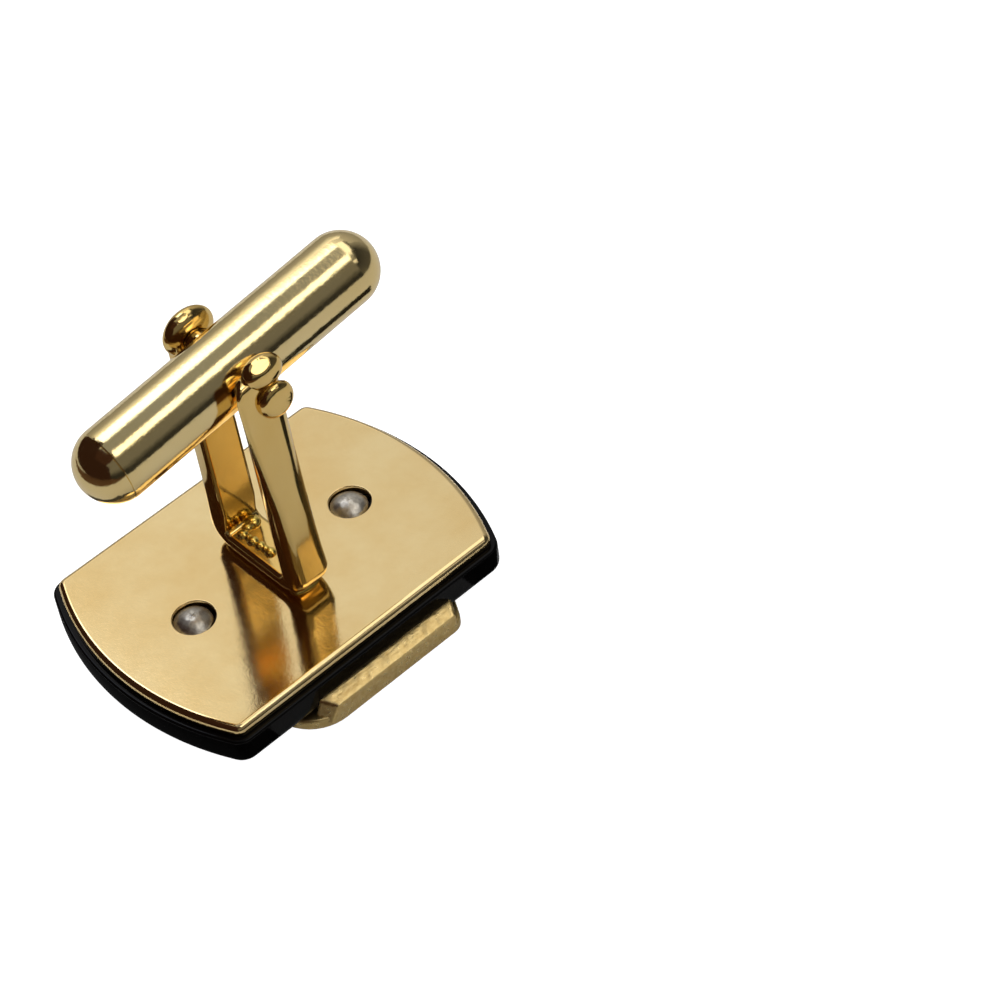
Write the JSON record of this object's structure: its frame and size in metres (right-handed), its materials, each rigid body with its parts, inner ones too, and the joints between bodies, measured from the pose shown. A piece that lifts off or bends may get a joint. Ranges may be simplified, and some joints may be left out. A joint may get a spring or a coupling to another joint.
{
  "type": "cufflink",
  "caption": "Bullet-back cufflink: barrel-shaped black plate with gold back plate and front panel, a U-shaped post and a swivelling bullet toggle.",
  "frame": {"origin": "middle of the cufflink's front face, on the surface that it lies on", "axes": "+Z from the front face along the post towards the toggle, X along the plates between their bowed ends, Y along the pivot pin"},
  "size_m": [0.021, 0.017, 0.0198],
  "materials": {
    "back_plate": "pale gold plate on brass, rolled and lightly brushed",
    "face_plate": "polished black",
    "front_ornament": "gold plate on a satin casting",
    "ornament_pegs": "dull grey tin alloy",
    "post": "polished gold plate",
    "solder_beads": "gold-plated solder, rough and bright",
    "pivot_pin": "peened, gold plated",
    "toggle": "polished gold plate",
    "detent_steel": "plain bright steel"
  },
  "bodies": {
    "link": {"back_plate": "back_plate", "face_plate": "face_plate", "front_ornament": "front_ornament", "ornament_pegs": "ornament_pegs", "post": "post", "solder_beads": "solder_beads", "pivot_pin": "pivot_pin"},
    "toggle": {"toggle_barrel": "toggle", "toggle_end_cap": "toggle", "detent_plunger": "detent_steel", "detent_spring": "detent_steel"}
  },
  "joints": [
    {"name": "toggle_swivel", "type": "hinge", "parent": "link", "child": "toggle", "pos_m": [0, 0, 0.0169], "axis": [0, 1, 0], "continuous": true}
  ]
}
